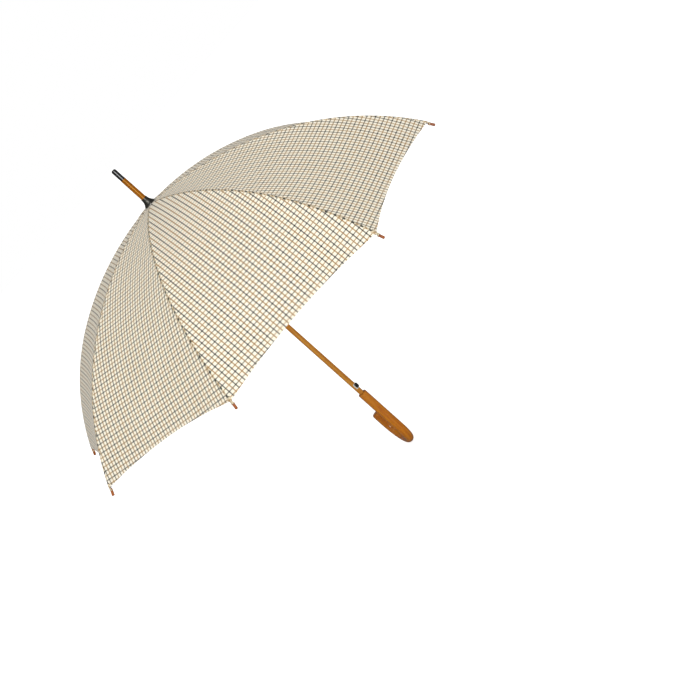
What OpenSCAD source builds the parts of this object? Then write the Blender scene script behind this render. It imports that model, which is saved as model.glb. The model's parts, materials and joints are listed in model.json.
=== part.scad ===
// Stick umbrella with eight ribs, an automatic-opening shaft and a wooden crook handle.
// Frame: millimetres, +Z along the shaft towards the ferrule, origin on the shaft's axis
// at the middle of the hand grip, +X from the shaft towards the free leg of the crook.
// The canopy is drawn open.

/* [Canopy] */
// Length of a rib, from its crown pivot to its outer end
rib_len = 590; // [520:1:700]
// Slope of a rib below the horizontal where it leaves the crown, in degrees
crown_slope = 4; // [0:0.5:12]
// Bend of the inner length of a rib, in degrees
inner_bend = 24; // [10:0.5:32]
// Bend of the outer length of a rib, in degrees
outer_bend = 29; // [10:0.5:36]
// Rise of the hem halfway between two rib tips
hem_rise = 17; // [5:1:60]
// Dip of the cover between two ribs, as a share of the distance across
cover_dip = 0.025; // [0:0.005:0.06]
// Thickness of the cover's solid panels
cover_t = 0.8; // [0.4:0.1:1.5]

/* [Ribs and stretchers] */
// Width of a rib's steel channel
rib_w = 3.2; // [2.6:0.1:5]
// Height of a rib's steel channel
rib_h = 3.4; // [2.8:0.1:5]
// Width of a stretcher's steel channel
stretcher_w = 3; // [2.6:0.1:5]
// Height of a stretcher's steel channel
stretcher_h = 3; // [2.6:0.1:4]
// Wall of the steel channels
channel_wall = 0.7; // [0.5:0.1:0.8]
// Depth of the lug that holds a stretcher below its rib
lug_drop = 7.5; // [7:0.1:10]
// Diameter of the wooden tip on each rib
tip_d = 5.6; // [4.5:0.1:8]
// Length of the wooden tip on each rib
tip_len = 15; // [14:0.5:26]

/* [Shaft and handle] */
// Outer diameter of the shaft's tube
shaft_d = 11.6; // [9:0.1:14]
// Wall of the shaft's tube
shaft_wall = 0.9; // [0.6:0.1:1.2]
// Length of the shaft's tube inside the handle
shaft_seat = 80; // [50:1:100]
// Diameter of the handle
handle_d = 20; // [16:0.5:26]
// Length of the straight part of the handle, which the hand holds
grip_len = 118; // [90:1:160]
// Radius of the crook, to the middle of the rod
crook_r = 44; // [34:1:60]
// Length of the crook's straight free leg
free_leg = 30; // [10:1:50]
// Height of the release button's middle above the handle
button_height = 21.5; // [16:0.5:40]
// Direction of the release button round the shaft, from the crook's plane, in degrees
button_turn = 218; // [0:1:359]
// Travel of the release button
button_travel = 2; // [1:0.1:2.5]

/* [Crown, runner and ferrule] */
// Radius of the circles that the pivots of the crown and of the runner lie on
pivot_r = 9.5; // [9:0.1:14]
// Diameter of the pivot pins
pin_d = 2; // [1.6:0.1:2.4]
// Height of the metal top cap
top_cap_h = 16.8; // [12:0.1:30]
// Length of the wooden ferrule rod that shows above the top cap
ferrule_len = 54.8; // [30:0.1:90]
// Diameter of the wooden ferrule rod at its base
ferrule_d = 12; // [10:0.1:15]
// Length of the ferrule's black cap
ferrule_cap_h = 27.2; // [16:0.1:45]
// Diameter of the ferrule's black cap
ferrule_cap_d = 10.8; // [10:0.1:15]
// Length of the runner below its pivots
runner_skirt = 26; // [20:1:40]

/* [Hidden] */
$fn = 48;
rib_count = 8;
sector = 360 / rib_count;
first_rib = 17.5;

// Clearances
seat_gap = 0.05;      // between a piece and the hole that it is glued or pressed into
pivot_gap = 0.05;     // between a pin and the eye that turns on it
slide_gap = 0.08;     // between the runner and the shaft
side_gap = 0.3;       // beside an eye in its slot, and between a lug and a fork
cover_gap = 0.8;      // between a rib and the cover above it
face_gap = 0.05;      // between two faces that rest on each other
cut = 1;              // how far a cutter runs past the face that it cuts

// Heights along the shaft
handle_top = grip_len / 2;
tip_room = 7.6;
crown_z = handle_top + rib_len + tip_room;
button_z = handle_top + button_height;
shaft_r = shaft_d / 2;
bore_r = shaft_r - shaft_wall;

// Eyes, pins and slots
pin_r = pin_d / 2;
eye_r = pin_r + 1.2;
eye_w = 2.6;
neck_len = 9;
neck_h = 2.6;
slot_w = eye_w + 2 * side_gap;
hub_r = pivot_r + 2.5;
hub_top = eye_r - 0.4;
hub_drop = 6;
slot_inner_r = pivot_r - eye_r - 0.6;
hub_pin_len = slot_w + 2.4;

// The release button and its plate
button_l = 10.4;
button_w = 7.2;
button_out = button_travel + 1.2;
button_in = 1.6;
plate_rim = 1.3;
plate_t = 0.8;

// Positions along a rib: the stretcher's lug and the springy knuckle beyond it
park_room = button_height + button_l / 2 + plate_rim + runner_skirt + 2;
lug_s = (rib_len + tip_room - park_room) / 2 + 2;
knuckle_past_lug = 30;
inner_len = lug_s + knuckle_past_lug;
outer_len = rib_len - inner_len;
knuckle_pin_r = 0.8;
knuckle_back = 2.4;
knuckle_front = 4;
tongue_w = 1.2;
tongue_r = 1.5;
round_proud = 0.12;   // how far a rounded end stands out past the bar that it ends
inner_rad = inner_len / inner_bend * 180 / PI;
outer_rad = outer_len / outer_bend * 180 / PI;

// Rib outline in the radial plane, as [radius, height], at distance s from the crown pivot
function slope(s) = s < inner_len
    ? crown_slope + inner_bend * s / inner_len
    : crown_slope + inner_bend + outer_bend * (s - inner_len) / outer_len;
function arc_centre(start, rad, start_slope) =
    start - rad * [sin(start_slope), cos(start_slope)];
inner_centre = arc_centre([pivot_r, crown_z], inner_rad, crown_slope);
knuckle_slope = crown_slope + inner_bend;
knuckle = inner_centre + inner_rad * [sin(knuckle_slope), cos(knuckle_slope)];
outer_centre = arc_centre(knuckle, outer_rad, knuckle_slope);
function rib_point(s) = s < inner_len
    ? inner_centre + inner_rad * [sin(slope(s)), cos(slope(s))]
    : outer_centre + outer_rad * [sin(slope(s)), cos(slope(s))];
function rib_normal(s) = [sin(slope(s)), cos(slope(s))];

// Folding linkage: rib pivot line and stretcher have the same length, and the crown's and
// the runner's pivots the same radius, so both turn equally and the runner slides straight
lug = rib_point(lug_s) - lug_drop * rib_normal(lug_s);
pivot_line = lug - [pivot_r, crown_z];
stretcher_len = norm(pivot_line);
open_angle = atan2(pivot_line[0], -pivot_line[1]);
runner_z = crown_z - 2 * stretcher_len * cos(open_angle);

// Cover: how far its inside lies above the ribs' middle line
cover_lift = rib_h / 2 + rib_w / 2 * tan(sector / 2) + cover_gap;
seam_half_gap = 0.2;
panel_rows = 16;
panel_cols = 8;

// Top of the cover at the crown, and the pieces stacked on it
cover_top = crown_z + cover_lift + cover_t;
washer_t = 0.6;
washer_z = cover_top + 0.3;
cap_z = washer_z + washer_t + face_gap;
cap_top = cap_z + top_cap_h;
rod_base = cap_z + 4;
rod_top = cap_top + ferrule_len;

/* ---------- helpers ---------- */

// Puts children at one rib's azimuth
module at_rib(k) {
    rotate([0, 0, first_rib + (k - 1) * sector]) children();
}

// Puts children at distance s along a rib, X along the rib and Z away from the shaft
module along_rib(s) {
    p = rib_point(s);
    translate([p[0], 0, p[1]]) rotate([0, slope(s), 0]) children();
}

// A bar that follows an arc of the rib; the child is its section, +X away from the shaft
module rib_arc(centre, rad, slope_a, slope_b) {
    translate([centre[0], 0, centre[1]])
        rotate([90, 0, 0])
        rotate([0, 0, 90 - slope_b])
        rotate_extrude(angle = slope_b - slope_a)
        translate([rad, 0])
        children();
}

// A cylinder across the rib's plane
module cross_rod(r, w) {
    rotate([90, 0, 0]) cylinder(r = r, h = w, center = true);
}

// Section of a steel channel that is open towards -X
module channel_section(h, w) {
    difference() {
        square([h, w], center = true);
        translate([-h / 2 - cut, -w / 2 + channel_wall])
            square([h + cut - channel_wall, w - 2 * channel_wall]);
    }
}

/* ---------- shaft, ferrule and handle ---------- */

module button_window(extra) {
    translate([0, 0, button_z]) rotate([0, 0, button_turn])
        translate([0, -button_w / 2 - extra, -button_l / 2 - extra])
        cube([shaft_r + 2 * cut + button_out, button_w + 2 * extra, button_l + 2 * extra]);
}

module shaft() {
    base = handle_top - shaft_seat;
    color("peru") difference() {
        translate([0, 0, base]) cylinder(r = shaft_r, h = rod_base - base);
        translate([0, 0, base - cut]) cylinder(r = bore_r, h = rod_base - base + 2 * cut);
        button_window(0.2);
    }
}

// The opening spring lies in the shaft, from above the button to the runner
spring_wire_r = 0.55;
spring_r = bore_r - spring_wire_r - 0.4;
spring_base = button_z + button_l / 2 + 6;
spring_pitch = 7;
spring_turns = floor((runner_z - runner_skirt - spring_base) / spring_pitch);

module opening_spring() {
    color("silver") for (i = [0:spring_turns])
        translate([0, 0, spring_base + i * spring_pitch])
        rotate_extrude()
        translate([spring_r, 0])
        circle(r = spring_wire_r);
}

rod_spigot = 14;
rod_taper = 0.6;
cap_spigot = 20;
cap_spigot_r = 3.8;

module ferrule_rod() {
    color("goldenrod") {
        translate([0, 0, rod_base - rod_spigot]) cylinder(r = bore_r - seat_gap, h = rod_spigot + cut);
        translate([0, 0, rod_base + face_gap])
            cylinder(d1 = ferrule_d, d2 = ferrule_d - rod_taper, h = rod_top - rod_base - face_gap);
        translate([0, 0, rod_top - cut]) cylinder(r = cap_spigot_r, h = cap_spigot + cut);
    }
}

cap_round = 3.5;

module ferrule_cap() {
    r = ferrule_cap_d / 2;
    outline = concat(
        [[0, face_gap], [r - 0.4, face_gap], [r, face_gap + 0.4]],
        [for (a = [0:15:90]) [r - cap_round + cap_round * cos(a),
                              ferrule_cap_h - cap_round + cap_round * sin(a)]],
        [[0, ferrule_cap_h]]);
    color("black") translate([0, 0, rod_top]) difference() {
        rotate_extrude() polygon(outline);
        translate([0, 0, -cut])
            cylinder(r = cap_spigot_r + seat_gap, h = cut + cap_spigot + 2 * seat_gap);
    }
}

// The top cap flares from the ferrule rod down to the cover
cap_bore_r = max(ferrule_d, shaft_d) / 2 + seat_gap;
cap_neck_r = cap_bore_r + 0.8;
cap_base_r = cap_neck_r + 6;
cap_rim_h = 1;

module top_cap() {
    steps = 12;
    flare = 2.4;
    outline = concat(
        [[0, 0], [cap_base_r - 0.3, 0], [cap_base_r, 0.3]],
        [for (i = [0:steps])
            let (t = i / steps)
            [cap_neck_r + (cap_base_r - cap_neck_r) * pow(1 - t, flare),
             cap_rim_h + t * (top_cap_h - cap_rim_h)]],
        [[0, top_cap_h]]);
    color("dimgray") translate([0, 0, cap_z]) difference() {
        rotate_extrude() polygon(outline);
        translate([0, 0, -cut]) cylinder(r = cap_bore_r, h = top_cap_h + 2 * cut);
    }
}

module crown_washer() {
    color("gray") translate([0, 0, washer_z]) difference() {
        cylinder(r = cap_base_r + 0.8, h = washer_t);
        translate([0, 0, -cut]) cylinder(r = shaft_r + 0.3, h = washer_t + 2 * cut);
    }
}

end_round = 5;

// Rounded end of the crook's rod, standing on z = 0
module rod_end(r) {
    outline = concat(
        [[0, 0], [r, 0]],
        [for (a = [0:15:90]) [r - end_round + end_round * cos(a), end_round * sin(a)]],
        [[0, end_round]]);
    rotate_extrude() polygon(outline);
}

module crook_handle() {
    r = handle_d / 2;
    chamfer = 1.2;
    color("saddlebrown") difference() {
        union() {
            translate([0, 0, -grip_len / 2]) cylinder(r = r, h = grip_len - chamfer);
            translate([0, 0, handle_top - chamfer - 0.01])
                cylinder(r1 = r, r2 = r - chamfer, h = chamfer + 0.01);
            translate([crook_r, 0, -grip_len / 2])
                rotate([90, 0, 0])
                rotate([0, 0, 180])
                rotate_extrude(angle = 180)
                translate([crook_r, 0])
                circle(r = r);
            translate([2 * crook_r, 0, -grip_len / 2]) {
                cylinder(r = r, h = free_leg);
                translate([0, 0, free_leg]) rod_end(r);
            }
        }
        translate([0, 0, handle_top - shaft_seat - 0.5])
            cylinder(r = shaft_r + seat_gap, h = shaft_seat + 0.5 + cut);
    }
}

/* ---------- release button ---------- */

module round_box(x0, x1, w, l, r) {
    translate([x0, 0, 0]) rotate([0, 90, 0]) linear_extrude(x1 - x0) {
        square([l, w - 2 * r], center = true);
        square([l - 2 * r, w], center = true);
        for (a = [-1, 1], b = [-1, 1])
            translate([a * (l / 2 - r), b * (w / 2 - r)]) circle(r = r);
    }
}

module button_plate() {
    rim = plate_rim + 0.3;
    color("gainsboro") translate([0, 0, button_z]) rotate([0, 0, button_turn]) difference() {
        intersection() {
            difference() {
                cylinder(r = shaft_r + plate_t, h = button_l + 2 * rim, center = true);
                cylinder(r = shaft_r + 0.02, h = button_l + 2 * rim + cut, center = true);
            }
            round_box(0, shaft_r + 2, button_w + 2 * rim, button_l + 2 * rim, 1.6);
        }
        round_box(0, shaft_r + 3, button_w + 0.6, button_l + 0.6, 1.4);
    }
}

module release_button() {
    dome = 0.6;
    color("black") translate([0, 0, button_z]) rotate([0, 0, button_turn]) {
        round_box(shaft_r - button_in, shaft_r + button_out - dome, button_w, button_l, 1.2);
        round_box(shaft_r, shaft_r + button_out, button_w - 2 * dome, button_l - 2 * dome, 1);
    }
}

/* ---------- crown and runner ---------- */

// Eight radial slots that start at slot_inner_r
module pivot_slots(z0, z1) {
    for (k = [1:rib_count]) at_rib(k)
        translate([slot_inner_r, -slot_w / 2, z0]) cube([hub_r, slot_w, z1 - z0]);
}

// The short pins across the slots; extra widens them into their holes
module pivot_pins(extra) {
    for (k = [1:rib_count]) at_rib(k)
        translate([pivot_r, 0, 0]) cross_rod(pin_r + extra, hub_pin_len + 2 * extra);
}

module crown_notch() {
    color("silver") translate([0, 0, crown_z]) difference() {
        translate([0, 0, -hub_drop]) cylinder(r = hub_r, h = hub_drop + hub_top);
        translate([0, 0, -hub_drop - cut]) cylinder(r = shaft_r + seat_gap, h = hub_drop + hub_top + 2 * cut);
        pivot_slots(-hub_drop - cut, hub_top + cut);
        pivot_pins(0.02);
    }
}

module crown_pins() {
    color("gray") translate([0, 0, crown_z]) pivot_pins(0);
}

runner_hub_drop = 5;
runner_tube_r = 8;
runner_flange_r = 10;
runner_flange_h = 4;

module runner() {
    color("black") translate([0, 0, runner_z]) difference() {
        union() {
            translate([0, 0, -runner_hub_drop]) cylinder(r = hub_r, h = runner_hub_drop + hub_top);
            translate([0, 0, -runner_skirt]) cylinder(r = runner_tube_r, h = runner_skirt);
            translate([0, 0, -runner_skirt]) cylinder(r = runner_flange_r, h = runner_flange_h);
        }
        translate([0, 0, -runner_skirt - cut])
            cylinder(r = shaft_r + slide_gap, h = runner_skirt + hub_top + 2 * cut);
        pivot_slots(-eye_r - 0.6, hub_top + cut);
        pivot_pins(0.02);
    }
}

module runner_pins() {
    color("gray") translate([0, 0, runner_z]) pivot_pins(0);
}

/* ---------- ribs ---------- */

module rib_inner(k) {
    neck_slope = slope(neck_len);
    back_end = slope(inner_len - knuckle_back);
    color("silver") at_rib(k) difference() {
        union() {
            along_rib(0) cross_rod(eye_r, eye_w);
            rib_arc(inner_centre, inner_rad, crown_slope, neck_slope + 0.1)
                square([neck_h, eye_w], center = true);
            rib_arc(inner_centre, inner_rad, neck_slope, back_end)
                channel_section(rib_h, rib_w);
            for (side = [-1, 1])
                rib_arc(inner_centre, inner_rad, back_end - 0.1, knuckle_slope)
                translate([0, side * (rib_w - channel_wall) / 2])
                square([rib_h, channel_wall], center = true);
            translate([knuckle[0], 0, knuckle[1]]) {
                for (side = [-1, 1]) translate([0, side * (rib_w - channel_wall) / 2, 0])
                    cross_rod(rib_h / 2 + round_proud, channel_wall);
                cross_rod(knuckle_pin_r, rib_w);
            }
            along_rib(lug_s) {
                translate([0, 0, -lug_drop]) cross_rod(eye_r, lug_w);
                translate([round_proud - eye_r, -lug_w / 2, -lug_drop])
                    cube([2 * (eye_r - round_proud), lug_w, lug_drop]);
            }
        }
        along_rib(0) cross_rod(pin_r + pivot_gap, eye_w + cut);
        along_rib(lug_s) translate([0, 0, -lug_drop]) cross_rod(pin_r + pivot_gap, lug_w + cut);
    }
}

lug_w = 2;
tip_spigot_r = 1.1;
tip_spigot = tip_len - 5;
tip_gap = 1.5;

module rib_outer(k) {
    front_slope = slope(inner_len + knuckle_front);
    color("silver") at_rib(k) difference() {
        union() {
            rib_arc(outer_centre, outer_rad, front_slope, slope(rib_len))
                channel_section(rib_h, rib_w);
            rib_arc(outer_centre, outer_rad, knuckle_slope, slope(inner_len + 3 * knuckle_front))
                square([2 * tongue_r, tongue_w], center = true);
            along_rib(inner_len) cross_rod(tongue_r + round_proud, tongue_w);
            rib_arc(outer_centre, outer_rad, slope(inner_len + 2 * knuckle_front),
                    slope(inner_len + 3 * knuckle_front))
                square([rib_h, rib_w], center = true);
            along_rib(rib_len) {
                translate([-3, -rib_w / 2, -rib_h / 2]) cube([3, rib_w, rib_h]);
                rotate([0, 90, 0]) cylinder(r = tip_spigot_r, h = tip_spigot);
            }
        }
        along_rib(inner_len) cross_rod(knuckle_pin_r + pivot_gap, tongue_w + cut);
    }
}

module rib_tip(k) {
    r = tip_d / 2;
    round_r = 1.6;
    outline = concat(
        [[0, 0], [r - 0.8, 0], [r - 0.2, 1.2]],
        [for (a = [0:18:90]) [r - round_r + round_r * cos(a), tip_len - round_r + round_r * sin(a)]],
        [[0, tip_len]]);
    color("sienna") at_rib(k) along_rib(rib_len) rotate([0, 90, 0]) translate([0, 0, tip_gap])
        difference() {
            rotate_extrude() polygon(outline);
            translate([0, 0, -cut])
                cylinder(r = tip_spigot_r + seat_gap, h = cut + tip_spigot - tip_gap + 0.2);
        }
}

/* ---------- stretchers ---------- */

fork_ear_t = 0.95;
fork_depth = 6.5;
fork_block = 3;
fork_w = lug_w + 2 * (side_gap + fork_ear_t);

module stretcher(k) {
    block_end = stretcher_len - fork_depth;
    color("silver") at_rib(k) translate([pivot_r, 0, runner_z]) rotate([0, open_angle - 90, 0])
        difference() {
            union() {
                cross_rod(eye_r, eye_w);
                translate([0, -eye_w / 2, -neck_h / 2]) cube([neck_len + cut, eye_w, neck_h]);
                translate([neck_len, 0, 0]) rotate([90, 0, 90])
                    linear_extrude(block_end - neck_len)
                    rotate([0, 0, 90])
                    channel_section(stretcher_h, stretcher_w);
                translate([block_end - fork_block, -fork_w / 2, -stretcher_h / 2])
                    cube([fork_block, fork_w, stretcher_h]);
                for (side = [-1, 1]) translate([0, side * (fork_w - fork_ear_t) / 2, 0]) {
                    translate([block_end - cut, -fork_ear_t / 2, -stretcher_h / 2])
                        cube([fork_depth + cut, fork_ear_t, stretcher_h]);
                    translate([stretcher_len, 0, 0]) cross_rod(eye_r, fork_ear_t);
                }
                translate([stretcher_len, 0, 0]) cross_rod(pin_r, fork_w);
            }
            cross_rod(pin_r + pivot_gap, eye_w + cut);
        }
}

/* ---------- cover ---------- */

// Point of the cover between two ribs: s along the ribs, u across from 0 to 1
function cover_point(s, u, lift) =
    let (
        p = rib_point(s) + lift * rib_normal(s),
        across = 2 * p[0] * sin(sector / 2),
        dip = cover_dip * across * 4 * u * (1 - u),
        mid_r = p[0] * cos(sector / 2) - dip * sin(slope(s))
    )
    [mid_r, (u - 0.5) * across, p[1] - dip * cos(slope(s))];

// The same point, at a distance w across from the seam
function strip_point(s, w, lift) =
    cover_point(s, w / (2 * rib_point(s)[0] * sin(sector / 2)), lift);

function hem_s(u) = rib_len - hem_rise * 4 * u * (1 - u);

// Faces of a closed shell whose two layers are grids of (rows + 1) x (cols + 1) points
function shell_faces(rows, cols) =
    let (
        n = (rows + 1) * (cols + 1),
        at = function (i, j) i * (cols + 1) + j
    )
    concat(
        [for (i = [0:rows - 1], j = [0:cols - 1])
            [at(i, j), at(i + 1, j), at(i + 1, j + 1), at(i, j + 1)]],
        [for (i = [0:rows - 1], j = [0:cols - 1])
            [n + at(i, j), n + at(i, j + 1), n + at(i + 1, j + 1), n + at(i + 1, j)]],
        [for (i = [0:rows - 1]) [at(i, 0), n + at(i, 0), n + at(i + 1, 0), at(i + 1, 0)]],
        [for (i = [0:rows - 1])
            [at(i, cols), at(i + 1, cols), n + at(i + 1, cols), n + at(i, cols)]],
        [for (j = [0:cols - 1]) [at(0, j), at(0, j + 1), n + at(0, j + 1), n + at(0, j)]],
        [for (j = [0:cols - 1])
            [at(rows, j), n + at(rows, j), n + at(rows, j + 1), at(rows, j + 1)]]);

module canopy_panel(k) {
    grid = function (lift)
        [for (i = [0:panel_rows], j = [0:panel_cols])
            let (
                u0 = j / panel_cols,
                s = hem_s(u0) * i / panel_rows,
                across = 2 * rib_point(s)[0] * sin(sector / 2),
                u = (seam_half_gap + u0 * (across - 2 * seam_half_gap)) / across
            )
            cover_point(s, u, lift)];
    color("wheat") at_rib(k + 0.5)
        polyhedron(points = concat(grid(cover_lift), grid(cover_lift + cover_t)),
                   faces = shell_faces(panel_rows, panel_cols), convexity = 6);
}

/* ---------- tie strap ---------- */

strap_rib = 8;
strap_w = 24;
strap_from = 16;
strap_top = 395;
strap_len = 112;
strap_t = 1;
strap_rows = 14;
strap_gap = 0.4;
strap_lift = cover_lift + cover_t + strap_gap;
snap_back = 10;

module tie_strap() {
    grid = function (lift)
        [for (i = [0:strap_rows], j = [0:2])
            strip_point(strap_top + strap_len * i / strap_rows, strap_from + strap_w * j / 2, lift)];
    color("wheat") at_rib(strap_rib + 0.5)
        polyhedron(points = concat(grid(strap_lift), grid(strap_lift + strap_t)),
                   faces = shell_faces(strap_rows, 2), convexity = 4);
}

module strap_snap() {
    s = strap_top + strap_len - snap_back;
    w = strap_from + strap_w / 2;
    u = w / (2 * rib_point(s)[0] * sin(sector / 2));
    fall = atan2(sin(slope(s)), cos(sector / 2) * cos(slope(s)));
    side_fall = atan(4 * cover_dip * (1 - 2 * u));
    color("silver") at_rib(strap_rib + 0.5)
        translate(strip_point(s, w, strap_lift + strap_t + strap_gap))
        rotate([0, fall, 0]) rotate([-side_fall, 0, 0]) {
        cylinder(r = 5, h = 0.8);
        cylinder(r = 3, h = 1.8);
    }
}

shaft();
opening_spring();
ferrule_rod();
ferrule_cap();
top_cap();
crown_washer();
crown_notch();
crown_pins();
crook_handle();
button_plate();
release_button();
runner();
runner_pins();
tie_strap();
strap_snap();
for (k = [1:rib_count]) {
    rib_inner(k);
    rib_outer(k);
    rib_tip(k);
    stretcher(k);
    canopy_panel(k);
}
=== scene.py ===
"""Stick umbrella: the looks, in metres, in the frame of the CAD model."""

import json
import math

import bpy
import numpy as np
from mathutils import Matrix, Vector

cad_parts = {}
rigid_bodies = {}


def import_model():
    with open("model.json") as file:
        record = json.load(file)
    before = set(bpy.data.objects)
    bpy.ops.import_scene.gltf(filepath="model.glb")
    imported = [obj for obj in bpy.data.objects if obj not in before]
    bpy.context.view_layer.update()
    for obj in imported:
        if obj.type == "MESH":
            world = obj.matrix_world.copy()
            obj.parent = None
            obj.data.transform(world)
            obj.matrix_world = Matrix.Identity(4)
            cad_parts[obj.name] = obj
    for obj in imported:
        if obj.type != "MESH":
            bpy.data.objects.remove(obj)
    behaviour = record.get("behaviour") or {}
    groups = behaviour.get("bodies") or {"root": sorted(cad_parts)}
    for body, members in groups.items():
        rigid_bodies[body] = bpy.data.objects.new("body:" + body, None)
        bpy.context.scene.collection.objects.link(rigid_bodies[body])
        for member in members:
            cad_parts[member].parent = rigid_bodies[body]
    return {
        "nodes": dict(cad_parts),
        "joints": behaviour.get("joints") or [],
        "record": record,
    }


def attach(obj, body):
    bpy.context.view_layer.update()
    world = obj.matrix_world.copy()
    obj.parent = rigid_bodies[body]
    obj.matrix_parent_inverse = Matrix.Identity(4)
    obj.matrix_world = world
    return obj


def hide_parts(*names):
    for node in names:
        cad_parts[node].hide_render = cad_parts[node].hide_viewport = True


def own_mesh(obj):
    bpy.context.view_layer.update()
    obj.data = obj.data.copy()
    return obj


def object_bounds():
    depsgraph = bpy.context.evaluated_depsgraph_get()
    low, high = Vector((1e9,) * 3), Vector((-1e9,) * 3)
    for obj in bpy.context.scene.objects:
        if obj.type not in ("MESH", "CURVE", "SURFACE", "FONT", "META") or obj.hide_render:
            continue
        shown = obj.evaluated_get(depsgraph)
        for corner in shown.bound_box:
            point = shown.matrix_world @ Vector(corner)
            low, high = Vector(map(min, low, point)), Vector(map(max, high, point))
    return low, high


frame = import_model()
cad_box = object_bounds()

MM = 0.001
joints = {j["name"]: j for j in frame["joints"]}
nodes = frame["nodes"]

# ---------------------------------------------------------------- shape of the cover

RIBS = 8
SECTOR = 2 * math.pi / RIBS
HALF = SECTOR / 2
RIB_LEN = 590 * MM
CROWN_SLOPE = math.radians(4)
INNER_BEND = math.radians(24)
OUTER_BEND = math.radians(29)
HEM_RISE = 17 * MM
COVER_DIP = 0.025
CLOTH_T = 0.42 * MM
CLOTH_LIFT = 3.56 * MM  # from the ribs' middle line to the middle of the cloth
HEM_FOLD = 9 * MM
HEM_EXTRA = 0.22 * MM
CLOTH_EDGE = 0.4 * MM  # allowance on a sheet's length for its two edges
PULL_RISE = 0.5 * MM  # height, spacing and fanning out of the shallow folds from the tips
PULL_PITCH = 0.17
PULL_FAN = 1.4

pivot = joints["rib_1_fold"]["pos_m"]
knuckle = joints["rib_1_flex"]["pos_m"]
PIVOT_R, CROWN_Z = math.hypot(pivot[0], pivot[1]), pivot[2]
KNUCKLE_R, KNUCKLE_Z = math.hypot(knuckle[0], knuckle[1]), knuckle[2]
FIRST_RIB = math.atan2(pivot[1], pivot[0])
inner_rad = math.hypot(KNUCKLE_R - PIVOT_R, KNUCKLE_Z - CROWN_Z) / (2 * math.sin(INNER_BEND / 2))
INNER_LEN = inner_rad * INNER_BEND
OUTER_LEN = RIB_LEN - INNER_LEN
outer_rad = OUTER_LEN / OUTER_BEND
KNUCKLE_SLOPE = CROWN_SLOPE + INNER_BEND


def slope(s):
    """Angle of a rib below the horizontal, at distance s from its crown pivot."""
    return np.where(s < INNER_LEN, CROWN_SLOPE + s / inner_rad,
                    KNUCKLE_SLOPE + (s - INNER_LEN) / outer_rad)


def rib_point(s, lift=0.0):
    """Radius and height of a point above the rib's middle line."""
    a = slope(s)
    rad = np.where(s < INNER_LEN, inner_rad, outer_rad)
    r0 = np.where(s < INNER_LEN, PIVOT_R - inner_rad * math.sin(CROWN_SLOPE),
                  KNUCKLE_R - outer_rad * math.sin(KNUCKLE_SLOPE))
    z0 = np.where(s < INNER_LEN, CROWN_Z - inner_rad * math.cos(CROWN_SLOPE),
                  KNUCKLE_Z - outer_rad * math.cos(KNUCKLE_SLOPE))
    return r0 + (rad + lift) * np.sin(a), z0 + (rad + lift) * np.cos(a)


def across(s):
    """Distance from rib to rib."""
    return 2 * rib_point(s, CLOTH_LIFT)[0] * math.sin(HALF)


def tension(s, u):
    """Height of the shallow folds that the pull of the tips leaves in the cloth."""
    middle = 4 * u * (1 - u)
    fan = np.cos(2 * math.pi * (s / PULL_PITCH + PULL_FAN * np.abs(u - 0.5)))
    return PULL_RISE * middle * fan * np.clip(s / RIB_LEN, 0, 1) ** 2


def cover(s, u, lift=CLOTH_LIFT):
    """Points of a gore whose middle lies along +X; u runs from one rib (0) to the next (1)."""
    s, u = np.broadcast_arrays(np.asarray(s, float), np.asarray(u, float))
    a = slope(s)
    r, z = rib_point(s, lift)
    wide = 2 * r * math.sin(HALF)
    dip = COVER_DIP * wide * 4 * u * (1 - u) - tension(s, u)
    return np.stack([r * math.cos(HALF) - dip * np.sin(a), (u - 0.5) * wide,
                     z - dip * np.cos(a)], -1)


def cover_normal(s, u):
    """Outward normal of the cover, from neighbours a small step away."""
    step = 1e-4
    along = cover(s + step, u) - cover(s - step, u)
    wide = cover(s, u + step) - cover(s, u - step)
    n = np.cross(along, wide)
    return n / np.linalg.norm(n, axis=-1, keepdims=True)


def hem_s(u):
    """Distance along the ribs at which the hem's curve lies."""
    return RIB_LEN - HEM_RISE * 4 * u * (1 - u)


def turned(points, azimuth):
    """Points turned about the shaft."""
    c, s = math.cos(azimuth), math.sin(azimuth)
    return points @ np.array([[c, s, 0], [-s, c, 0], [0, 0, 1]])


def rib_azimuth(k):
    return FIRST_RIB + (k - 1) * SECTOR


# Length along the middle of a gore, which the cloth's grain follows
GRAIN_S = np.linspace(-10 * MM, RIB_LEN + 20 * MM, 1300)
gore_middle = cover(GRAIN_S, np.full_like(GRAIN_S, 0.5))
GRAIN_RUN = np.concatenate([[0], np.cumsum(np.linalg.norm(np.diff(gore_middle, axis=0), axis=1))])


def grain_run(s):
    """Length of cloth from the crown to s, along the middle of a gore."""
    return np.interp(s, GRAIN_S, GRAIN_RUN)


# ---------------------------------------------------------------- meshes

def make_object(name, points, faces, uv=None, normals=None, floats=None, material=None):
    mesh = bpy.data.meshes.new(name)
    mesh.from_pydata([tuple(p) for p in points], [], [tuple(int(i) for i in f) for f in faces])
    mesh.polygons.foreach_set("use_smooth", [True] * len(mesh.polygons))
    loop_verts = np.empty(len(mesh.loops), int)
    mesh.loops.foreach_get("vertex_index", loop_verts)
    if uv is not None:
        layer = mesh.uv_layers.new(name="cloth")
        layer.data.foreach_set("uv", np.asarray(uv, np.float32)[loop_verts].ravel())
    for key, values in (floats or {}).items():
        mesh.attributes.new(key, "FLOAT", "POINT").data.foreach_set(
            "value", np.asarray(values, np.float32))
    mesh.validate()
    if normals is not None:
        mesh.normals_split_custom_set_from_vertices([tuple(n) for n in normals])
    obj = bpy.data.objects.new(name, mesh)
    bpy.context.scene.collection.objects.link(obj)
    if material is not None:
        mesh.materials.append(material)
    return obj


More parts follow.
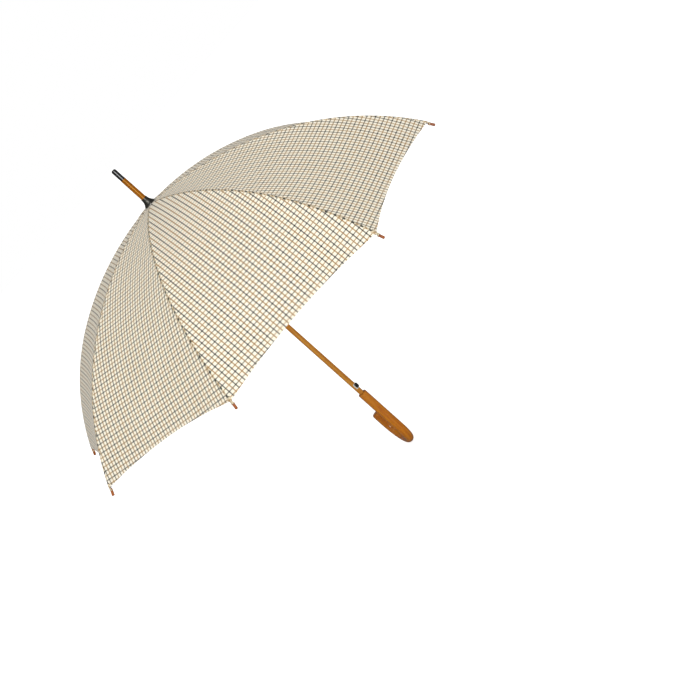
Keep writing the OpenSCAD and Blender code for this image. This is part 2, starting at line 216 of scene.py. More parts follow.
def shell_faces(rows, cols):
    """Faces of a closed shell of two (rows + 1) x (cols + 1) grids, the outer one first."""
    n = (rows + 1) * (cols + 1)
    at = np.arange(n).reshape(rows + 1, cols + 1)
    a, b, c, d = at[:-1, :-1], at[1:, :-1], at[1:, 1:], at[:-1, 1:]
    faces = [np.stack([a, b, c, d], -1).reshape(-1, 4),
             n + np.stack([a, d, c, b], -1).reshape(-1, 4)]
    rim = np.concatenate([at[0, :], at[1:, -1], at[-1, -2::-1], at[-2:0:-1, 0]])
    after = np.roll(rim, -1)
    faces.append(np.stack([rim, after, n + after, n + rim], -1))
    return np.concatenate(faces)


def ring_faces(rings, sides):
    """Faces of a closed form of rings, each with the given number of points."""
    faces = [(i * sides + j, i * sides + (j + 1) % sides,
              (i + 1) * sides + (j + 1) % sides, (i + 1) * sides + j)
             for i in range(rings - 1) for j in range(sides)]
    return faces + [tuple(reversed(range(sides))), tuple(range((rings - 1) * sides, rings * sides))]


def tube(name, path, radius, sides, material):
    """A closed tube along a path of points."""
    path = np.asarray(path, float)
    tangent = np.gradient(path, axis=0)
    tangent /= np.linalg.norm(tangent, axis=1, keepdims=True)
    up = np.cross(tangent[0], [0.31, 0.17, 0.93])
    points = []
    for p, t in zip(path, tangent):
        up = up - np.dot(up, t) * t
        up /= np.linalg.norm(up)
        side = np.cross(t, up)
        for j in range(sides):
            a = 2 * math.pi * j / sides
            points.append(p + radius * (math.cos(a) * up + math.sin(a) * side))
    return make_object(name, points, ring_faces(len(path), sides), material=material)


# ---------------------------------------------------------------- materials

class Paint:
    """A Principled material, with short calls for the nodes that feed it."""

    def __init__(self, name, **sockets):
        self.material = bpy.data.materials.new(name)
        self.material.use_nodes = True
        self.tree = self.material.node_tree
        self.bsdf = self.tree.nodes["Principled BSDF"]
        for key, value in sockets.items():
            self.bsdf.inputs[key.replace("_", " ")].default_value = value

    def feed(self, socket, value):
        if isinstance(value, bpy.types.NodeSocket):
            self.tree.links.new(value, socket)
        elif value is not None:
            socket.default_value = value

    def math(self, operation, a, b=None, c=None):
        node = self.tree.nodes.new("ShaderNodeMath")
        node.operation = operation
        for socket, value in zip(node.inputs, (a, b, c)):
            self.feed(socket, value)
        return node.outputs[0]

    def mix(self, share, a, b):
        node = self.tree.nodes.new("ShaderNodeMix")
        node.data_type = "RGBA"
        self.feed(node.inputs["Factor"], share)
        self.feed(node.inputs[6], a)
        self.feed(node.inputs[7], b)
        return node.outputs[2]

    def step(self, value, low, high, at_low=0.0, at_high=1.0):
        """A smooth step from at_low to at_high as value goes from low to high."""
        node = self.tree.nodes.new("ShaderNodeMapRange")
        node.interpolation_type = "SMOOTHSTEP"
        for socket, v in zip(node.inputs, (value, low, high, at_low, at_high)):
            self.feed(socket, v)
        return node.outputs[0]

    def noise(self, vector, scale, detail=3.0, roughness=0.5):
        node = self.tree.nodes.new("ShaderNodeTexNoise")
        self.feed(node.inputs["Vector"], vector)
        node.inputs["Scale"].default_value = scale
        node.inputs["Detail"].default_value = detail
        node.inputs["Roughness"].default_value = roughness
        return node.outputs["Fac"]

    def place(self):
        return self.tree.nodes.new("ShaderNodeTexCoord").outputs["Object"]

    def split(self, vector):
        node = self.tree.nodes.new("ShaderNodeSeparateXYZ")
        self.feed(node.inputs[0], vector)
        return node.outputs

    def join(self, x, y, z):
        node = self.tree.nodes.new("ShaderNodeCombineXYZ")
        for socket, value in zip(node.inputs, (x, y, z)):
            self.feed(socket, value)
        return node.outputs[0]

    def attribute(self, name):
        node = self.tree.nodes.new("ShaderNodeAttribute")
        node.attribute_name = name
        return node.outputs["Fac"]

    def bump(self, height, distance, strength=1.0, normal=None):
        node = self.tree.nodes.new("ShaderNodeBump")
        node.inputs["Strength"].default_value = strength
        node.inputs["Distance"].default_value = distance
        self.feed(node.inputs["Height"], height)
        self.feed(node.inputs["Normal"], normal)
        return node.outputs[0]

    def rounded(self, radius):
        node = self.tree.nodes.new("ShaderNodeBevel")
        node.samples = 4
        node.inputs["Radius"].default_value = radius
        return node.outputs[0]

    def cloth_place(self):
        """Place on the flat cloth, in metres: across the gore, and along it."""
        node = self.tree.nodes.new("ShaderNodeUVMap")
        node.uv_map = "cloth"
        return self.split(node.outputs[0])[:2]

    def near(self, value, centre, inside, outside):
        """1 where value is within inside of the centre, fading to 0 at outside."""
        away = self.math("ABSOLUTE", self.math("SUBTRACT", value, centre))
        return self.step(away, inside, outside, 1.0, 0.0)

    def stripes(self, value, pitch, shift, inside, outside):
        """Stripes at every pitch; the shift and the half widths are shares of the pitch."""
        share = self.math("FRACT", self.math("ADD", self.math("DIVIDE", value, pitch), shift))
        return self.near(share, 0.5, inside, outside)

    def wave(self, value, pitch):
        return self.math("SINE", self.math("MULTIPLY", value, 2 * math.pi / pitch))

    def set(self, name, value):
        self.feed(self.bsdf.inputs[name], value)


def rgb(r, g, b):
    """A colour given as it shows on screen, 0 to 255."""
    def linear(v):
        v /= 255
        return v / 12.92 if v <= 0.04045 else ((v + 0.055) / 1.055) ** 2.4
    return (linear(r), linear(g), linear(b), 1.0)


def shade(colour, share, add=0.0):
    return [c * share + add for c in colour[:3]] + [1.0]


WHITE = (1.0, 1.0, 1.0, 1.0)
CHECK = 16.7 * MM  # from one dark line of the check to the next, and the width of a line
LINE = 2.3 * MM
DARK_LINES, TAN_LINES = 0.5, 0.0  # shift of each colour's lines, as a share of the check
HEM_STITCH = 7.2 * MM
CREAM = rgb(236, 227, 206)
CREAM_LIGHT = rgb(243, 236, 218)
DARK = rgb(22, 26, 20)
TAN = rgb(150, 112, 52)


def check_lines(p, value, shift):
    """Lines of one colour of the check, across value."""
    half = LINE / CHECK / 2
    return p.stripes(value, CHECK, shift, half * 0.75, half * 1.3)


def cloth_material(name):
    """Woven check: dark and tan lines both ways, a twill of fine yarns, and a sewn hem."""
    p = Paint(name, Sheen_Weight=0.18, Sheen_Roughness=0.45)
    x, y = p.cloth_place()
    fibre = p.noise(p.join(x, y, 0.0), 900.0, 2.0)

    def yarn(value, pitch):
        return p.math("MULTIPLY_ADD", p.wave(value, pitch), 0.5, 0.5)

    # Where the other yarns pass over a line, less of its colour shows
    yarn_pitch, float_pitch = 0.9 * MM, 2.67 * MM
    warp, weft = yarn(x, yarn_pitch), yarn(y, yarn_pitch)
    over = yarn(p.math("ADD", x, y), 2 * yarn_pitch)
    warp_show = p.math("MULTIPLY_ADD", p.step(yarn(y, float_pitch), 0.30, 0.55), 0.32, 0.68)
    weft_show = p.math("MULTIPLY_ADD", p.step(yarn(x, float_pitch), 0.35, 0.60), 0.42, 0.52)
    dark_warp, tan_warp = check_lines(p, x, DARK_LINES), check_lines(p, x, TAN_LINES)
    dark_weft, tan_weft = check_lines(p, y, DARK_LINES), check_lines(p, y, TAN_LINES)

    colour = p.mix(p.noise(p.join(x, y, 0.0), 14.0, 3.0), CREAM, CREAM_LIGHT)
    for line, show, dye in ((tan_weft, weft_show, TAN), (dark_weft, weft_show, DARK),
                            (tan_warp, warp_show, TAN), (dark_warp, warp_show, DARK)):
        colour = p.mix(p.math("MULTIPLY", line, show), colour, dye)
    crossing = p.math("MULTIPLY", dark_warp, dark_weft)
    colour = p.mix(p.math("MULTIPLY", crossing, 0.95), colour, DARK)

    # The hem: one row of stitches, and painted shade along the fold's edge
    hem = p.attribute("hem")
    stitch_line = p.near(hem, HEM_STITCH, 0.25 * MM, 0.4 * MM)
    stitch_dash = p.step(yarn(x, 3.2 * MM), 0.25, 0.4)
    stitch = p.math("MULTIPLY", stitch_line, stitch_dash)
    colour = p.mix(p.math("MULTIPLY", stitch, 0.75), colour, rgb(240, 232, 214))
    # Painted shade: the cloth is darkened along the edge of the hem's fold
    fold = p.near(hem, HEM_FOLD, 0.2 * MM, 0.8 * MM)
    colour = p.mix(p.math("MULTIPLY", fold, 0.22), colour, rgb(120, 104, 80))
    p.set("Base Color", colour)

    # Height of the yarns and fibres, of the puckers beside a seam, and of the stitches
    under = p.math("SUBTRACT", 1.0, over)
    weave = p.math("ADD", p.math("MULTIPLY", warp, over), p.math("MULTIPLY", weft, under))
    pucker = p.math("MULTIPLY", p.step(p.attribute("seam"), 1 * MM, 16 * MM, 1.0, 0.0),
                    p.wave(y, 7 * MM))
    height = p.math("ADD", p.math("MULTIPLY", weave, 0.16), p.math("MULTIPLY", fibre, 0.08))
    height = p.math("ADD", height, p.math("MULTIPLY", pucker, 0.25))
    height = p.math("SUBTRACT", height, p.math("MULTIPLY", stitch, 0.5))
    p.set("Normal", p.bump(height, 0.5 * MM, 0.6))
    p.set("Roughness", p.math("MULTIPLY_ADD", fibre, 0.12, 0.76))
    return p.material


def seam_material():
    """Rolled seam: ends of the check's lines meet it as short dark and tan dashes."""
    p = Paint("seam_cloth", Roughness=0.84, Sheen_Weight=0.18)
    x, y = p.cloth_place()
    pitch = CHECK / math.cos(HALF)
    skew = p.math("MULTIPLY_ADD", x, 0.41, y)

    def dashes(shift, width):
        return p.stripes(skew, pitch, shift, width * 0.7, width)

    colour = p.mix(p.noise(p.join(x, y, 0.0), 120.0, 2.0), rgb(196, 180, 148), rgb(220, 206, 176))
    colour = p.mix(p.math("MULTIPLY", dashes(TAN_LINES, 0.12), 0.8), colour, TAN)
    colour = p.mix(p.math("MULTIPLY", dashes(DARK_LINES, 0.19), 0.97), colour, DARK)
    # The groove down the seam's middle is sunk by the bump and darkened with painted shade
    groove = p.step(p.math("ABSOLUTE", x), 0.15 * MM, 0.6 * MM, 1.0, 0.0)
    colour = p.mix(p.math("MULTIPLY", groove, 0.55), colour, rgb(84, 74, 56))
    p.set("Base Color", colour)
    height = p.math("SUBTRACT", p.math("MULTIPLY", p.wave(y, 2.6 * MM), 0.3), groove)
    p.set("Normal", p.bump(height, 0.35 * MM, 0.7))
    return p.material


def thread_material():
    p = Paint("sewing_thread", Roughness=0.6, Sheen_Weight=0.3)
    ply = p.noise(p.place(), 2600.0, 1.0)
    p.set("Base Color", p.mix(ply, rgb(176, 156, 118), rgb(232, 220, 192)))
    p.set("Normal", p.bump(ply, 0.1 * MM, 0.5))
    return p.material


def wood(name, light, dark, grain, fine, coat, rough, specular=0.25, glint=WHITE):
    """Lacquered wood. The grain runs along the third coordinate that grain gives, in metres;
    a larger fine draws it closer, and glint is the colour of the highlight."""
    p = Paint(name, Coat_Weight=coat, Coat_Roughness=0.09, Specular_IOR_Level=specular,
              Specular_Tint=glint)
    a, b, along = grain(p)
    stretched = p.join(a, b, p.math("MULTIPLY", along, 0.07))
    bands = p.noise(stretched, 260.0 * fine, 3.0, 0.6)
    streaks = p.noise(stretched, 1500.0 * fine, 2.0, 0.6)
    short = p.join(a, b, p.math("MULTIPLY", along, 0.16))
    pores = p.step(p.noise(short, 3600.0 * fine, 1.0), 0.62, 0.74)
    share = p.math("ADD", p.math("MULTIPLY", bands, 0.75), p.math("MULTIPLY", streaks, 0.35))
    colour = p.mix(p.step(share, 0.36, 0.74), light, dark)
    colour = p.mix(p.math("MULTIPLY", pores, 0.45), colour, shade(dark, 0.45))
    p.set("Base Color", colour)
    p.set("Roughness", p.math("MULTIPLY_ADD", streaks, 0.18, rough - 0.09))
    worn = p.noise(p.place(), 60.0, 3.0)
    height = p.math("ADD", p.math("MULTIPLY", pores, -0.5), p.math("MULTIPLY", worn, 0.5))
    p.set("Normal", p.bump(height, 0.12 * MM, 0.35))
    return p.material


def straight_grain(p):
    return p.split(p.place())


CROOK_R = 44 * MM
CROOK_Z = -59 * MM


def crook_grain(p):
    """Coordinates that follow the grip, the crook and its free leg."""
    x, y, z = p.split(p.place())
    below = p.math("MINIMUM", p.math("SUBTRACT", z, CROOK_Z), 0.0)
    from_centre = p.math("SUBTRACT", x, CROOK_R)
    radius = p.math("SQRT", p.math("ADD", p.math("MULTIPLY", from_centre, from_centre),
                                   p.math("MULTIPLY", below, below)))
    turn = p.math("ARCTAN2", below, from_centre)
    above = p.math("MAXIMUM", p.math("SUBTRACT", z, CROOK_Z), 0.0)
    along = p.math("MULTIPLY_ADD", turn, CROOK_R, above)
    return p.math("SUBTRACT", radius, CROOK_R), y, along


def tip_grain(p):
    """Coordinates that follow the wooden tips, which lie in eight directions."""
    x, y, z = p.split(p.place())
    end = float(slope(RIB_LEN))
    radius = p.math("SQRT", p.math("ADD", p.math("MULTIPLY", x, x), p.math("MULTIPLY", y, y)))
    along = p.math("SUBTRACT", p.math("MULTIPLY", radius, math.cos(end)),
                   p.math("MULTIPLY", z, math.sin(end)))
    out = p.math("ADD", p.math("MULTIPLY", radius, math.sin(end)),
                 p.math("MULTIPLY", z, math.cos(end)))
    return p.math("MULTIPLY", p.math("ARCTAN2", y, x), 0.5), out, along


def metal(name, colour, rough, edge=0.12 * MM, metallic=1.0, spread=0.16):
    """Metal with dull clouds and fine scratches along Z; spread is how much its gloss varies."""
    p = Paint(name, Metallic=metallic)
    x, y, z = p.split(p.place())
    cloud = p.noise(p.place(), 180.0, 4.0, 0.65)
    scratch = p.noise(p.join(x, y, p.math("MULTIPLY", z, 0.08)), 1400.0, 2.0)
    dull = p.math("ADD", p.math("MULTIPLY", cloud, 0.6), p.math("MULTIPLY", scratch, 0.4))
    p.set("Base Color", p.mix(p.step(cloud, 0.35, 0.75), colour, shade(colour, 0.72)))
    p.set("Roughness", p.math("MULTIPLY_ADD", dull, spread, rough - spread / 2))
    normal = p.rounded(edge) if edge else None
    p.set("Normal", p.bump(scratch, 0.03 * MM, 0.25, normal))
    return p.material


def plastic(name, colour, rough, edge=0.25 * MM, coat=0.0):
    """Moulded plastic, a little cloudy and finely grained."""
    p = Paint(name, Coat_Weight=coat, Coat_Roughness=0.05, Specular_IOR_Level=0.5)
    cloud = p.noise(p.place(), 90.0, 4.0, 0.6)
    fine = p.noise(p.place(), 2600.0, 2.0)
    p.set("Base Color", p.mix(cloud, colour, shade(colour, 1.5, 0.004)))
    p.set("Roughness", p.math("MULTIPLY_ADD", cloud, 0.14, rough - 0.07))
    p.set("Normal", p.bump(fine, 0.03 * MM, 0.3, p.rounded(edge)))
    return p.material


cloth = cloth_material("cover_check")
seam_cloth = seam_material()
thread = thread_material()
slots = {
    "shaft_lacquer": wood("shaft_lacquer", rgb(212, 146, 42), rgb(182, 110, 24), straight_grain,
                          fine=1.2, coat=0.6, rough=0.34),
    "ferrule_wood": wood("ferrule_wood", rgb(160, 96, 14), rgb(122, 70, 6), straight_grain,
                         fine=1.0, coat=0.0, rough=0.24, specular=1.0, glint=rgb(255, 190, 110)),
    "handle_wood": wood("handle_wood", rgb(206, 128, 18), rgb(176, 92, 12), crook_grain,
                        fine=0.7, coat=0.8, rough=0.3),
    "tip_wood": wood("tip_wood", rgb(176, 96, 24), rgb(120, 56, 12), tip_grain,
                     fine=1.6, coat=0.5, rough=0.35),
    "ferrule_black": plastic("ferrule_black", rgb(16, 15, 14), 0.14, 0.3 * MM, 1.0),
    "cap_metal": metal("cap_metal", rgb(92, 91, 86), 0.36, 0.3 * MM),
    "washer": metal("washer", rgb(150, 150, 148), 0.35),
    "spring_steel": metal("spring_steel", rgb(176, 176, 178), 0.3, None),
    "steel": metal("steel", rgb(188, 190, 192), 0.3),
    "chrome_plate": metal("chrome_plate", rgb(240, 236, 224), 0.3, 0.25 * MM,
                          metallic=0.25, spread=0.08),
    "snap_metal": metal("snap_metal", rgb(196, 192, 184), 0.24),
    "button_black": plastic("button_black", rgb(20, 20, 21), 0.34),
    "runner_black": plastic("runner_black", rgb(26, 26, 27), 0.4),
    "cover_fabric": cloth,
}
for subpart in frame["record"]["subparts"]:
    for place in nodes[subpart["node"]].material_slots:
        place.material = slots[subpart["material_slot"]]

# ---------------------------------------------------------------- the cover

# Bands along the ribs, each with its number of rows and what is left of its width when closed
BANDS = [(0.0, 60 * MM, 12, 0.66), (60 * MM, 150 * MM, 14, 0.36),
         (150 * MM, INNER_LEN, 18, 0.22), (INNER_LEN, RIB_LEN, 36, 0.095)]
COLS = 14
CROWDING = 1.15  # above 1, the columns stand closer together beside the rib
HEM_ROW, HEM_THICK = 0.88, 0.95  # shares of the hem's fold at its inner row and its thick part


def half_gore(k, side, band):
    """The half of gore k that belongs to its first (side 0) or second (side 1) rib."""
    start, end, rows, keep = BANDS[band]
    t = np.linspace(0, 1, COLS + 1) ** CROWDING * 0.5
    u = t if side == 0 else (1 - t)[::-1]
    if end < RIB_LEN:
        s = np.linspace(start, end, rows + 1)[:, None] + 0 * u[None, :]
    else:
        hem = hem_s(u)[None, :]
        body = np.linspace(0, 1, rows - 1)[:, None]
        s = np.concatenate([start + (hem - HEM_FOLD - start) * body,
                            hem - HEM_ROW * HEM_FOLD, hem])
    u = np.broadcast_to(u[None, :], s.shape)
    hem_away = hem_s(u) - s
    thick = CLOTH_T / 2 + HEM_EXTRA * (hem_away < HEM_THICK * HEM_FOLD)
    azimuth = rib_azimuth(k) + HALF
    outer = turned(cover(s, u, CLOTH_LIFT + thick).reshape(-1, 3), azimuth)
    inner = turned(cover(s, u, CLOTH_LIFT - thick).reshape(-1, 3), azimuth)
    normal = turned(cover_normal(s, u).reshape(-1, 3), azimuth)
    wide = across(s)
    uv = np.stack([(u - 0.5) * wide, grain_run(s)], -1).reshape(-1, 2)
    seam_away = (np.minimum(u, 1 - u) * wide).ravel()
    name = f"gore_{k}_{'ab'[side]}{band + 1}"
    obj = make_object(name, np.concatenate([outer, inner]), shell_faces(s.shape[0] - 1, COLS),
                      uv=np.concatenate([uv, uv]), normals=np.concatenate([normal, -normal]),
                      floats={"hem": np.tile(hem_away.ravel(), 2), "seam": np.tile(seam_away, 2)},
                      material=cloth)

    rib = (k + side - 1) % RIBS + 1
    part = "inner" if end <= INNER_LEN else "outer"
    # A direction across the rib, square to the rib's length
    at = rib_azimuth(k + side)
    rise = np.array(rib_point(end, CLOTH_LIFT)) - np.array(rib_point(start, CLOTH_LIFT))
    tau = np.array([rise[0] * math.cos(at), rise[0] * math.sin(at), rise[1]])
    tau /= np.linalg.norm(tau)
    chord = np.array([-math.sin(azimuth), math.cos(azimuth), 0.0]) * (1 if side == 0 else -1)
    axis = chord - np.dot(chord, tau) * tau
    axis /= np.linalg.norm(axis)
    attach(obj, f"rib_{rib}_{part}")
    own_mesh(obj)

    grid = outer.reshape(s.shape + (3,))
    d1, d2 = grid[1:, 1:] - grid[:-1, :-1], grid[1:, :-1] - grid[:-1, 1:]
    area = float(np.linalg.norm(np.cross(d1, d2), axis=-1).sum() / 2)
    flat = (float(wide.max()) / 2, float(np.ptp(grain_run(s))) + CLOTH_EDGE)
    return obj, flat, area, f"rib_{rib}_{part}"


for k in range(1, RIBS + 1):
    for side in (0, 1):
        for band in range(len(BANDS)):
            half_gore(k, side, band)
    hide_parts(f"canopy_panel_{k}")


def seam_points(k, s, w, lift):
    """Points of the cover beside rib k: w is the signed distance from the seam."""
    s, w, lift = np.broadcast_arrays(s, w, lift)
    share = np.abs(w) / (2 * rib_point(s, CLOTH_LIFT)[0] * math.sin(HALF))
    after = turned(cover(s, share, lift), rib_azimuth(k) + HALF)
    before = turned(cover(s, 1 - share, lift), rib_azimuth(k) - HALF)
    return np.where((w >= 0)[..., None], after, before)


def sewn(obj, body):
    """Trim of the cover's fabric that moves with one body."""
    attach(obj, body)


def seam(k, part):
    """The rolled seam over one length of rib k, puckered along its ridge."""
    half_w, row_step = 2.1 * MM, 3 * MM
    rise, fall, groove, clear = 0.42 * MM, 0.28 * MM, 0.12 * MM, 0.02 * MM
    pucker_rise, pucker_pitch = 0.12 * MM, 6.1 * MM
    start, end = (10 * MM, INNER_LEN) if part == "inner" else (INNER_LEN, RIB_LEN + 0.2 * MM)
    rows = round((end - start) / row_step)
    s = np.linspace(start, end, rows + 1)[:, None]
    w = np.array([-1, -0.72, -0.38, 0, 0.38, 0.72, 1])[None, :] * half_w
    arch = 1 - (w / half_w) ** 2
    pucker = pucker_rise * np.sin(2 * math.pi * s / pucker_pitch + k)
    top = CLOTH_LIFT + CLOTH_T / 2 + clear + arch * (rise + pucker) - groove * (w == 0)
    low = CLOTH_LIFT - CLOTH_T / 2 - fall * arch + 0 * s
    outer, inner = seam_points(k, s, w, top), seam_points(k, s, w, low)
    uv = np.stack(np.broadcast_arrays(w, s), -1).reshape(-1, 2)
    points = np.concatenate([outer.reshape(-1, 3), inner.reshape(-1, 3)])
    sewn(make_object(f"seam_{k}_{part}", points, shell_faces(rows, w.shape[1] - 1),
                     uv=np.concatenate([uv, uv]), material=seam_cloth), f"rib_{k}_{part}")


def tip_frame(k, s):
    """Centre, outward normal, sideways and lengthways directions of rib k at distance s."""
    a, at = float(slope(s)), rib_azimuth(k)
    r, z = (float(v) for v in rib_point(s))
    radial = np.array([math.cos(at), math.sin(at), 0.0])
    centre = radial * r + np.array([0, 0, z])
    out = radial * math.sin(a) + np.array([0, 0, math.cos(a)])
    along = radial * math.cos(a) - np.array([0, 0, math.sin(a)])
    return centre, out, np.cross(along, out), along


TIP_R = 2.8 * MM
THREAD_R = 0.26 * MM
TURN_POINTS = 14


def corner(k):
    """The cover's corner: flat at its inner end, and wrapped round the tip at its outer end."""
    rows, cols = 12, 8
    inner_end, length = -9 * MM, 15 * MM
    wrap_start, wrap_len = -5 * MM, 6 * MM
    wide_half, narrowing = 4.6 * MM, 2.4 * MM
    top, low, uv = [], [], []
    for i in range(rows + 1):
        s = RIB_LEN + inner_end + length * i / rows
        t = min(max((s - RIB_LEN - wrap_start) / wrap_len, 0), 1)
        wrap = t * t * (3 - 2 * t)
        half_w = wide_half - narrowing * i / rows
        centre, out, side, _ = tip_frame(k, s)
        for j in range(cols + 1):
            w = half_w * (2 * j / cols - 1)
            for store, extra in ((top, 0.55 * MM), (low, 0.1 * MM)):
                flat = seam_points(k, np.array(s), np.array(-w),
                                   np.array(CLOTH_LIFT + CLOTH_T / 2 + extra))
                angle = w / (TIP_R + extra)
                bent = centre + (TIP_R + extra) * (math.cos(angle) * out + math.sin(angle) * side)
                store.append((1 - wrap) * flat + wrap * bent)
            uv.append((w, s))
    sewn(make_object(f"corner_{k}", np.array(top + low), shell_faces(rows, cols)[:, ::-1],
                     uv=np.array(uv + uv), material=seam_cloth), f"rib_{k}_outer")


def binding(name, k, s, radius, turns, body, flatten=1.0, lift=0.0):
    """Thread wound round rib k or its tip at distance s, each turn beside the last."""
    centre, out, side, along = tip_frame(k, s)
    path = []
    for i in range(turns * TURN_POINTS + 1):
        a = 2 * math.pi * i / TURN_POINTS
        wound = radius * math.cos(a) * out + radius * flatten * math.sin(a) * side
        path.append(centre + lift * out + wound
                    + along * (i / TURN_POINTS * 2 - turns) * THREAD_R)
    sewn(tube(name, path, THREAD_R, 6, thread), body)


for k in range(1, RIBS + 1):
    seam(k, "inner")
    seam(k, "outer")
    corner(k)
    binding(f"tip_thread_{k}", k, RIB_LEN + 4.6 * MM, TIP_R + 0.62 * MM, 4, f"rib_{k}_outer")
    for place, s in (("inner", 185 * MM), ("outer", 445 * MM)):
        binding(f"rib_thread_{k}_{place}", k, s, 2.75 * MM, 3, f"rib_{k}_{place}", 0.85, 0.75 * MM)

# ---------------------------------------------------------------- the tie strap and its snap

STRAP_RIB = 8
STRAP_TOP, STRAP_LEN = 395 * MM, 112 * MM
STRAP_NEAR, STRAP_W = 16 * MM, 24 * MM
SHELL_LIFT, SHELL_T = 3.163 * MM, 0.8 * MM  # underside and thickness of the CAD cover
STRAP_LIFT = SHELL_LIFT + SHELL_T + 0.4 * MM
STRAP_T = 1.35 * MM
STRAP_MIDDLE = STRAP_NEAR + STRAP_W / 2
SNAP_S = STRAP_TOP + STRAP_LEN - 10 * MM


def strap_material():
    p = Paint("strap_check", Roughness=0.82, Sheen_Weight=0.18)
    x, y = p.cloth_place()
    colour = p.mix(p.noise(p.join(x, y, 0.0), 30.0), CREAM, CREAM_LIGHT)
    for value, share in ((y, 0.5), (x, 0.8)):
        for shift, dye in ((TAN_LINES, TAN), (DARK_LINES, DARK)):
            colour = p.mix(p.math("MULTIPLY", check_lines(p, value, shift), share), colour, dye)
    stitch_line = p.near(p.attribute("edge"), 2 * MM, 0.2 * MM, 0.35 * MM)
    stitch_dash = p.step(p.wave(p.math("ADD", x, y), 2.8 * MM), -0.4, -0.1)
    stitch = p.math("MULTIPLY", stitch_line, stitch_dash)
    colour = p.mix(p.math("MULTIPLY", stitch, 0.8), colour, rgb(242, 234, 216))
    p.set("Base Color", colour)
    grain = p.noise(p.join(x, y, 0.0), 1400.0, 2.0)
    height = p.math("SUBTRACT", p.math("MULTIPLY", grain, 0.25), stitch)
    p.set("Normal", p.bump(height, 0.4 * MM, 0.5))
    return p.material


def strap_spot(w, lift):
    """A point beside the strap's rib, as far along it as the snap."""
    return seam_points(STRAP_RIB, np.array(SNAP_S), np.array(w), np.array(lift))


def strap():
    """A flat band with a rounded end, thin at its edges and a little wavy away from the snap."""
    rows, cols = 56, 12
    i = np.linspace(0, 1, rows + 1)[:, None]
    j = np.linspace(-1, 1, cols + 1)[None, :]
    end = np.clip((i * STRAP_LEN - (STRAP_LEN - STRAP_W / 2)) / (STRAP_W / 2), 0, 1)
    half_w = STRAP_W / 2 * (1 - 0.12 * end - 0.3 * end ** 6)
    w = STRAP_MIDDLE + j * half_w
    s = STRAP_TOP + i * STRAP_LEN + 0 * j
    edge = np.minimum(half_w * (1 - np.abs(j)), STRAP_LEN * np.minimum(i, 1 - i) + 0 * j)
    soft = np.clip(edge / (1.2 * MM), 0, 1) ** 0.5
    wave = 0.35 * MM * np.sin(2 * math.pi * i * 1.7) * np.clip(np.abs(s - SNAP_S) / (12 * MM), 0, 1)
    middle = STRAP_LIFT + STRAP_T / 2 + np.abs(wave)
    half_t = STRAP_T / 2 * (0.35 + 0.65 * soft)
    top, low = middle + half_t, middle - half_t
    outer, inner = seam_points(STRAP_RIB, s, w, top), seam_points(STRAP_RIB, s, w, low)
    uv = np.stack([w + 0 * s, s], -1).reshape(-1, 2)
    points = np.concatenate([outer.reshape(-1, 3), inner.reshape(-1, 3)])
    return make_object("strap", points, shell_faces(rows, cols), uv=np.concatenate([uv, uv]),
                       floats={"edge": np.tile(edge.ravel(), 2)}, material=strap_material())


def snap_button():
    """Pressed cap with a rolled rim, turned about the strap's normal."""
    # Radius and height in millimetres: rolled rim, groove and dome
    outline = [(5.0, 0.0), (5.2, 0.25), (5.1, 0.6), (4.7, 0.85), (4.2, 0.8), (3.8, 0.62),
               (3.2, 0.66), (2.9, 0.95), (2.6, 1.35), (2.0, 1.65), (1.2, 1.78), (0.5, 1.82)]
    sides = 40
    base = strap_spot(STRAP_MIDDLE, STRAP_LIFT + STRAP_T)
    out = strap_spot(STRAP_MIDDLE, STRAP_LIFT + STRAP_T + 1 * MM) - base
    out /= np.linalg.norm(out)
    one = np.cross(out, [0, 0, 1.0])
    one /= np.linalg.norm(one)
    two = np.cross(out, one)
    points = [base + out * h * MM + r * MM * (math.cos(2 * math.pi * j / sides) * one
                                               + math.sin(2 * math.pi * j / sides) * two)
              for r, h in outline for j in range(sides)]
    return make_object("snap_button", points, ring_faces(len(outline), sides),
                       material=slots["snap_metal"])


# The strap, its snap, and the way and the distance from the seam to their middle
strap_band = strap()
snap = snap_button()
seam_spot = strap_spot(0.0, STRAP_LIFT)
side_way = strap_spot(STRAP_MIDDLE, STRAP_LIFT) - seam_spot
reach = float(np.linalg.norm(side_way))
side_way = side_way / reach
for piece, slot_name, node in ((strap_band, "cover_fabric", "tie_strap"),
                               (snap, "snap_metal", "strap_snap")):
    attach(piece, f"rib_{STRAP_RIB}_outer")
    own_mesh(piece)
    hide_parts(node)

# ---------------------------------------------------------------- camera

# Where the photographer stood, and the directions of the picture's right side and its depth
RIGHT = Vector((-0.322062, -0.623620, -0.712302)).normalized()
FORWARD = Vector((0.944934, -0.165569, -0.282289))
FORWARD = (FORWARD - FORWARD.dot(RIGHT) * RIGHT).normalized()
UP = RIGHT.cross(FORWARD).normalized()
EYE = Vector((-2.76475, 0.43247, 0.96579))
LENS = 70.5757

camera_data = bpy.data.cameras.new("camera")
camera_data.sensor_width = 36
camera_data.lens = LENS
camera_data.clip_end = 60
camera = bpy.data.objects.new("camera", camera_data)
camera.matrix_world = Matrix.Translation(EYE) @ Matrix((RIGHT, UP, -FORWARD)).transposed().to_4x4()
bpy.context.scene.collection.objects.link(camera)
bpy.context.scene.camera = camera
bpy.context.scene.view_settings.view_transform = "Standard"

# ---------------------------------------------------------------- floor and light

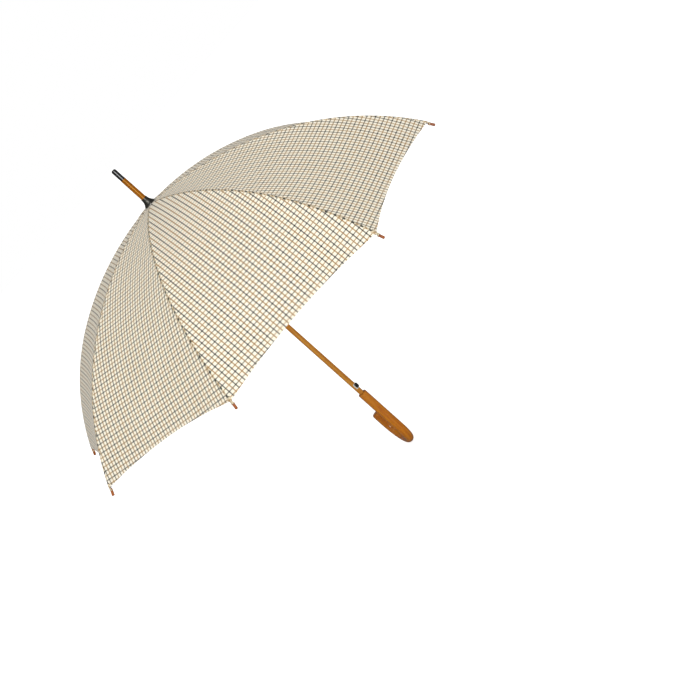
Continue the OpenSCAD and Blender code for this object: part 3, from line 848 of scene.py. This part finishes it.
FLOOR = 12.0  # half its side
floor_corners = [(x * FLOOR, y * FLOOR, 0) for x, y in ((-1, -1), (1, -1), (1, 1), (-1, 1))]
floor = make_object("floor", floor_corners, [(0, 1, 2, 3)])
floor.location.z = cad_box[0][2] - 0.5 * MM
pale = Paint("floor_pale", Roughness=0.9, Specular_IOR_Level=0.1)
floor_rays = pale.tree.nodes.new("ShaderNodeLightPath").outputs
grey = pale.mix(pale.noise(pale.place(), 3.0), (0.79, 0.79, 0.79, 1), (0.81, 0.81, 0.81, 1))
# Painted reflection: where lacquer reflects the floor, it shows dark grey; to the camera it glows
# white
pale.set("Base Color", pale.mix(floor_rays["Is Glossy Ray"], grey, (0.22, 0.22, 0.22, 1)))
pale.bsdf.inputs["Emission Color"].default_value = WHITE
pale.set("Emission Strength", pale.math("MULTIPLY", floor_rays["Is Camera Ray"], 0.8))
floor.data.materials.append(pale.material)

# The backdrop is white to the camera, softer as a lamp and dim where lacquer reflects it
SEEN, LAMP, REFLECTED = 1.0, 0.6, 0.2
world = bpy.data.worlds.new("studio")
world.use_nodes = True
sky = world.node_tree
sky_rays = sky.nodes.new("ShaderNodeLightPath").outputs


def choose(ray, other, own):
    """The value own for one kind of ray, and other for the rest."""
    node = sky.nodes.new("ShaderNodeMix")
    sky.links.new(sky_rays[ray], node.inputs[0])
    if isinstance(other, bpy.types.NodeSocket):
        sky.links.new(other, node.inputs[2])
    else:
        node.inputs[2].default_value = other
    node.inputs[3].default_value = own
    return node.outputs[0]


backdrop = sky.nodes["Background"]
backdrop.inputs[0].default_value = WHITE
strength = choose("Is Camera Ray", choose("Is Glossy Ray", LAMP, REFLECTED), SEEN)
sky.links.new(strength, backdrop.inputs[1])
bpy.context.scene.world = world


def softbox(name, aim, direction, distance, size, watts):
    """A rectangular lamp that shines on aim from the given direction."""
    data = bpy.data.lights.new(name, "AREA")
    data.shape = "RECTANGLE"
    data.size, data.size_y = size
    data.energy = watts
    light = bpy.data.objects.new(name, data)
    away = direction.normalized()
    light.location = aim + away * distance
    light.rotation_euler = away.to_track_quat("Z", "Y").to_euler()
    bpy.context.scene.collection.objects.link(light)


middle = Vector((0, 0, (cad_box[0][2] + cad_box[1][2]) / 2))
ferrule = Vector((0, 0, cad_box[1][2] - 50 * MM))
softbox("key", middle, UP * 0.35 - RIGHT * 0.35 - FORWARD * 0.87,
        distance=3.0, size=(1.6, 1.6), watts=35)
softbox("front", ferrule, RIGHT * 0.236 - UP * 0.195 - FORWARD * 0.959,
        distance=5.0, size=(2.4, 1.4), watts=74)
